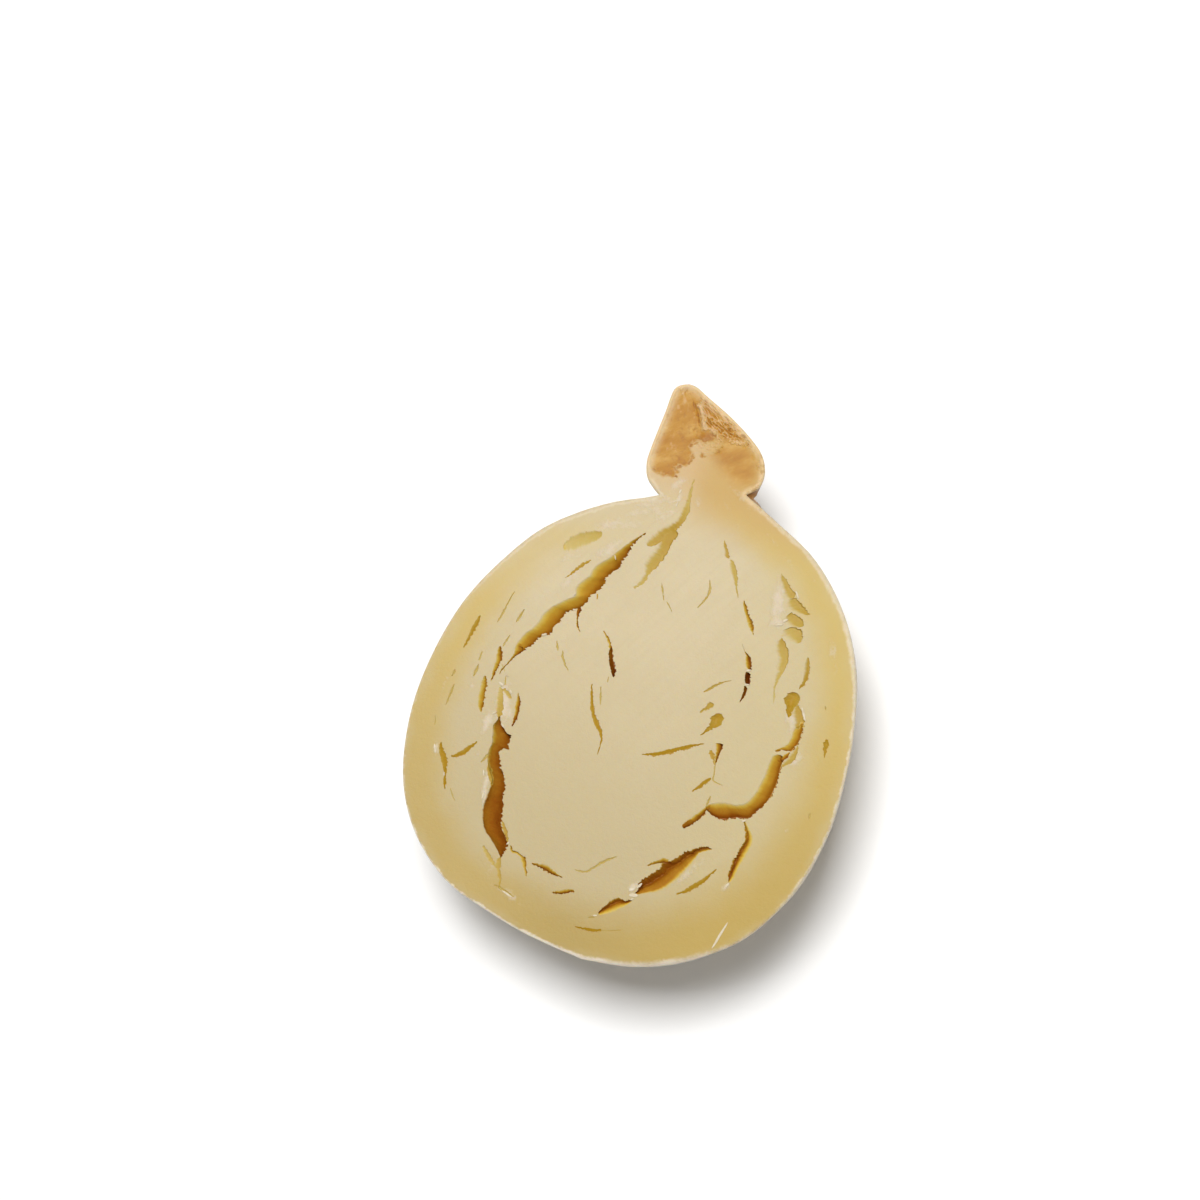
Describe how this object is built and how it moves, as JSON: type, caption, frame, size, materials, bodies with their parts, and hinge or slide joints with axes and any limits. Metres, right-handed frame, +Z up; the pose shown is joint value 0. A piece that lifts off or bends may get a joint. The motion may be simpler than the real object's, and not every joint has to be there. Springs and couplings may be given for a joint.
{
  "type": "half of a caciocavallo cheese",
  "caption": "Pear-shaped stretched-curd cheese cut lengthwise through its knotted head; lies on its rounded rind with the flat cut face and its splits upward.",
  "frame": {"origin": "under the middle of the half, on the surface that it lies on", "axes": "+Z up, out of the cut face; +Y along the cheese towards its head; +X to the right seen from above"},
  "size_m": [0.1499, 0.1986, 0.072],
  "materials": {
    "cheese": null
  },
  "bodies": {
    "root": {"cheese_half": "cheese"}
  },
  "joints": []
}
